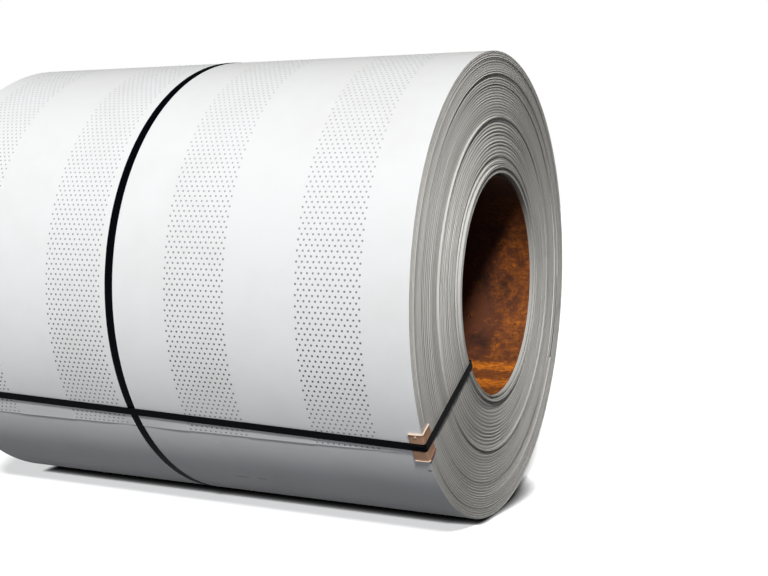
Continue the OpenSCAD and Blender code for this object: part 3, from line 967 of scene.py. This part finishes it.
def make_protector(sheet, packaging, colours, near):
    """A corner protector: a curved angle of pressed board with a rim at each end and a small moulding peg."""
    thick, corner = packaging.leg_thickness, packaging.corner
    radius, face = sheet.radius + packaging.gap, sheet.width / 2 + packaging.gap
    bend = corner * math.pi / 2
    body, end = packaging.body_leg + thick - corner, packaging.end_leg + thick - corner
    middle = (packaging.eye_near if near else packaging.eye_far) + packaging.drop / sheet.radius
    half, rim = packaging.protector / 2, packaging.rim_thickness
    across = [-half] + [-half + rim + (half - rim) * i / 4 for i in range(9)] + [half]
    along = [body * i / 5 for i in range(6)] + [body + bend * i / 6 for i in range(1, 7)]
    along += [body + bend + end * i / 6 for i in range(1, 7)]
    mesh = bmesh.new()
    bmesh.ops.create_grid(mesh, x_segments=len(along) - 1, y_segments=len(across) - 1, size=0.5)
    for vert in mesh.verts:
        i = round((vert.co.x + 0.5) * (len(along) - 1))
        j = round((vert.co.y + 0.5) * (len(across) - 1))
        vert.co = Vector((along[i], across[j], 0))
    outside = pull_up(mesh, mesh.faces[:], thick)
    rims = [face for face in outside if abs(face.calc_center_median().y) > half - rim]
    pull_up(mesh, rims, packaging.rim)
    bmesh.ops.delete(mesh, geom=rims, context="FACES_ONLY")
    bmesh.ops.recalc_face_normals(mesh, faces=mesh.faces)
    edges = [edge for edge in mesh.edges if len(edge.link_faces) == 2 and edge.calc_face_angle(0) > 0.8]
    bmesh.ops.bevel(
        mesh, geom=edges, offset=0.0003, offset_type="OFFSET", segments=2, profile=0.5, affect="EDGES",
        material=-1, clamp_overlap=True,
    )
    peg = bmesh.ops.create_cone(
        mesh, cap_ends=True, segments=20, radius1=0.0025, radius2=0.0019, depth=0.0022,
        matrix=Matrix.Translation((body - packaging.body_leg / 2 + corner - thick, -half + rim + 0.005, thick + 0.0009)),
    )["verts"]
    pegged = set(peg)
    for item in mesh.faces:
        spot = item.calc_center_median()
        rimmed = spot.y < rim - half + 0.0002 or (spot.y > half - rim - 0.0002 and spot.x < body + bend)
        pale = (rimmed and spot.z > thick * 0.35) or spot.x < 0.0004
        # The rim at the foot of the end leg gets painted shade
        foot = spot.y > half - rim - 0.0002 and spot.x >= body + bend and spot.z > thick * 0.35
        item.material_index = 2 if foot else 1 if pale or all(vert in pegged for vert in item.verts) else 0
    chance = random.Random(3 if near else 5)
    phases = [chance.uniform(0, 6) for _ in range(3)]
    for vert in mesh.verts:
        u, v, w = vert.co
        # The board is crumpled a little where the strap has pulled it down
        crumple = math.sin(u * 210 + phases[0]) * math.sin(v * 150 + phases[1]) + math.sin(u * 90 - v * 240 + phases[2])
        pressed = smooth(abs(v + packaging.drop), packaging.strap_width / 2, packaging.strap_width / 2 + 0.008)
        reach = w - thick - (0.00035 * (1 + crumple / 2) * pressed if w > thick * 0.5 else 0)
        # Flat coordinates are folded over the coil's corner, then bent round its edge
        turned = min(max((u - body) / bend, 0.0), 1.0) * math.pi / 2
        if w > thick * 0.5:
            r = radius + thick - corner + (corner + reach) * math.cos(turned) - max(u - body - bend, 0)
            x = face + thick - corner + (corner + reach) * math.sin(turned) - max(body - u, 0)
        else:
            # The inner side keeps to the coil's sharp corner
            r = radius + w - max(u - body - bend, 0) - (corner - thick) * smooth(u, body + bend / 2, body + bend)
            x = face + w - max(body - u, 0) - (corner - thick) * (1 - smooth(u, body, body + bend / 2))
        vert.co = at(r, middle + v / sheet.radius, x if near else -x)
    bmesh.ops.recalc_face_normals(mesh, faces=mesh.faces)
    name = "near" if near else "far"
    return add_piece(
        mesh, f"corner_protector_{name}", [moulded_board, pale_board, shaded_board],
        [f"edge_protector_{name}"], colours, 40,
    )


class COIL_OT_wound_turns(bpy.types.Operator):
    """Build the wound turns of sheet, with stepped ends and the bore"""

    bl_idname = "coil.wound_turns"
    bl_label = "Wound Turns"

    def execute(self, context):
        settings = context.scene.coil
        for near in (True, False):
            make_wound_body(settings.sheet, settings.packaging, settings.colours, near)
        return {"FINISHED"}


class COIL_OT_last_turn(bpy.types.Operator):
    """Build the last turn: the perforated bands and the plain margins between them"""

    bl_idname = "coil.last_turn"
    bl_label = "Last Turn"

    def execute(self, context):
        settings = context.scene.coil
        for number, middle in enumerate(band_middles(settings.sheet), 1):
            make_band(settings.sheet, settings.packaging, settings.colours, number, middle)
        make_plain_sheet(settings.sheet, settings.packaging, settings.colours)
        return {"FINISHED"}


class COIL_OT_core_sleeve(bpy.types.Operator):
    """Build the rusty steel sleeve that the sheet is wound on"""

    bl_idname = "coil.core_sleeve"
    bl_label = "Core Sleeve"

    def execute(self, context):
        settings = context.scene.coil
        make_sleeve(settings.packaging, settings.colours)
        return {"FINISHED"}


class COIL_OT_straps(bpy.types.Operator):
    """Build the ring strap and the eye strap, and finish their seals"""

    bl_idname = "coil.straps"
    bl_label = "Straps and Seals"

    def execute(self, context):
        settings = context.scene.coil
        make_ring_strap(settings.sheet, settings.packaging, settings.colours)
        make_eye_strap(settings.sheet, settings.packaging, settings.colours)
        for name in ("ring_strap_seal", "eye_strap_seal"):
            seal = frame["nodes"][name]
            seal.data.materials.clear()
            seal.data.materials.append(shared(black_strapping, settings.colours))
        return {"FINISHED"}


class COIL_OT_protectors(bpy.types.Operator):
    """Build the corner protectors under the eye strap"""

    bl_idname = "coil.protectors"
    bl_label = "Corner Protectors"

    def execute(self, context):
        settings = context.scene.coil
        for near in (True, False):
            make_protector(settings.sheet, settings.packaging, settings.colours, near)
        return {"FINISHED"}


class COIL_OT_stage(bpy.types.Operator):
    """Set up the floor, the light and the camera"""

    bl_idname = "coil.stage"
    bl_label = "Stage"

    def execute(self, context):
        scene, stage = context.scene, context.scene.coil.stage
        scene.view_settings.view_transform = "Standard"
        mesh = bmesh.new()
        bmesh.ops.create_grid(mesh, x_segments=8, y_segments=8, size=30)
        data = bpy.data.meshes.new("floor")
        mesh.to_mesh(data)
        mesh.free()
        floor = bpy.data.objects.new("floor", data)
        scene.collection.objects.link(floor)
        data.materials.append(self.floor_material(stage))
        self.light("key_light", stage.key, (0.306, -0.70, 0.65), 8, "#FFFFFF")
        self.light("fill_light", stage.fill, (0.0, -0.99, 0.1), 50, "#DCE6FF")
        self.world(scene, stage)
        data = bpy.data.cameras.new("camera")
        data.sensor_width = 36
        data.lens = stage.lens
        data.clip_end = 200
        camera = bpy.data.objects.new("camera", data)
        camera.location = stage.camera
        camera.rotation_euler = (stage.tilt, 0, stage.pan)
        scene.collection.objects.link(camera)
        scene.camera = camera
        return {"FINISHED"}

    def light(self, name, energy, direction, angle, code):
        """A sun lamp that shines from a direction, as wide as an angle in degrees."""
        data = bpy.data.lights.new(name, "SUN")
        data.energy = energy
        data.color = linear(code)
        data.angle = math.radians(angle)
        lamp = bpy.data.objects.new(name, data)
        lamp.rotation_euler = Vector(direction).to_track_quat("Z", "Y").to_euler()
        bpy.context.scene.collection.objects.link(lamp)

    def floor_material(self, stage):
        """Plain studio floor: white where it is seen, dark close to the coil, and dark for the light it throws back."""
        material = bpy.data.materials.new("studio_floor")
        material.use_nodes = True
        tree = material.node_tree
        tree.nodes.clear()
        path = add(tree, "ShaderNodeLightPath")
        # The light comes from the front, so the shade is narrow in front of the coil and wide behind it
        place = add(tree, "ShaderNodeTexCoord")
        split = add(tree, "ShaderNodeSeparateXYZ", {0: place.outputs["Object"]})
        reach = add(
            tree, "ShaderNodeMapRange",
            {"Value": split.outputs["Y"], "From Min": -0.05, "From Max": 0.35, "To Min": 0.02, "To Max": 0.12},
        )
        beyond = add(
            tree, "ShaderNodeMapRange",
            {"Value": split.outputs["X"], "From Min": 0.55, "From Max": 0.7, "To Min": 1.0, "To Max": 0.6},
        )
        reach = add(tree, "ShaderNodeMath", {0: reach.outputs[0], 1: beyond.outputs[0]}, operation="MULTIPLY")
        near = add(tree, "ShaderNodeAmbientOcclusion", {"Distance": reach.outputs[0]}, samples=16)
        seen = add(
            tree, "ShaderNodeMath", {0: path.outputs["Is Glossy Ray"], 1: 0.4, 2: path.outputs["Is Camera Ray"]},
            operation="MULTIPLY_ADD", use_clamp=True,
        )
        close = add(tree, "ShaderNodeMath", {0: near.outputs["AO"], 1: 4.0}, operation="POWER")
        pale = add(tree, "ShaderNodeBsdfDiffuse", {"Color": close.outputs[0]})
        glow = add(tree, "ShaderNodeEmission", {"Color": close.outputs[0], "Strength": 0.6})
        both = add(tree, "ShaderNodeAddShader", {0: pale.outputs[0], 1: glow.outputs[0]})
        # It throws less light back close to the coil, which keeps the underside dark
        away = add(tree, "ShaderNodeMath", {0: split.outputs["Y"]}, operation="ABSOLUTE")
        thrown = add(
            tree, "ShaderNodeMapRange",
            {"Value": away.outputs[0], "From Min": 0.3, "From Max": 1.3, "To Min": 0.02, "To Max": 0.24},
        )
        dark = add(tree, "ShaderNodeBsdfDiffuse", {"Color": thrown.outputs[0]})
        end_material(
            tree, add(tree, "ShaderNodeMixShader", {0: seen.outputs[0], 1: dark.outputs[0], 2: both.outputs[0]}),
        )
        return material

    def world(self, scene, stage):
        """A dim sky that lights the coil, seen as a white backdrop."""
        world = bpy.data.worlds.new("hall")
        scene.world = world
        world.use_nodes = True
        tree = world.node_tree
        tree.nodes.clear()
        path = add(tree, "ShaderNodeLightPath")
        seen = add(
            tree, "ShaderNodeMath", {0: path.outputs["Is Camera Ray"], 1: path.outputs["Is Transmission Ray"]},
            operation="MAXIMUM",
        )
        sky = add(tree, "ShaderNodeBackground", {"Color": rgba(linear("#E9ECF0")), "Strength": stage.sky})
        white = add(tree, "ShaderNodeBackground", {"Color": (1, 1, 1, 1), "Strength": stage.backdrop})
        mixed = add(tree, "ShaderNodeMixShader", {0: seen.outputs[0], 1: sky.outputs[0], 2: white.outputs[0]})
        add(tree, "ShaderNodeOutputWorld", {"Surface": mixed.outputs[0]})


class COIL_PT_parts(bpy.types.Panel):
    """Lists the pieces of the coil and their sizes"""

    bl_label = "Perforated Sheet Coil"
    bl_space_type = "VIEW_3D"
    bl_region_type = "UI"
    bl_category = "Coil"

    def draw(self, context):
        settings = context.scene.coil
        for operator in OPERATORS:
            self.layout.operator(operator.bl_idname)
        for group in (settings.sheet, settings.packaging, settings.colours, settings.stage):
            box = self.layout.box()
            for name in group.__annotations__:
                box.prop(group, name)


OPERATORS = (
    COIL_OT_wound_turns, COIL_OT_last_turn, COIL_OT_core_sleeve, COIL_OT_straps, COIL_OT_protectors, COIL_OT_stage,
)
CLASSES = (CoilSheet, CoilPackaging, CoilColours, CoilStage, CoilSettings, *OPERATORS, COIL_PT_parts)


def register():
    for cls in CLASSES:
        bpy.utils.register_class(cls)
    bpy.types.Scene.coil = PointerProperty(type=CoilSettings)


def unregister():
    del bpy.types.Scene.coil
    for cls in reversed(CLASSES):
        bpy.utils.unregister_class(cls)


def main():
    register()
    bpy.ops.coil.wound_turns()
    bpy.ops.coil.last_turn()
    bpy.ops.coil.core_sleeve()
    bpy.ops.coil.straps()
    bpy.ops.coil.protectors()
    bpy.ops.coil.stage()


if __name__ == "__main__":
    main()
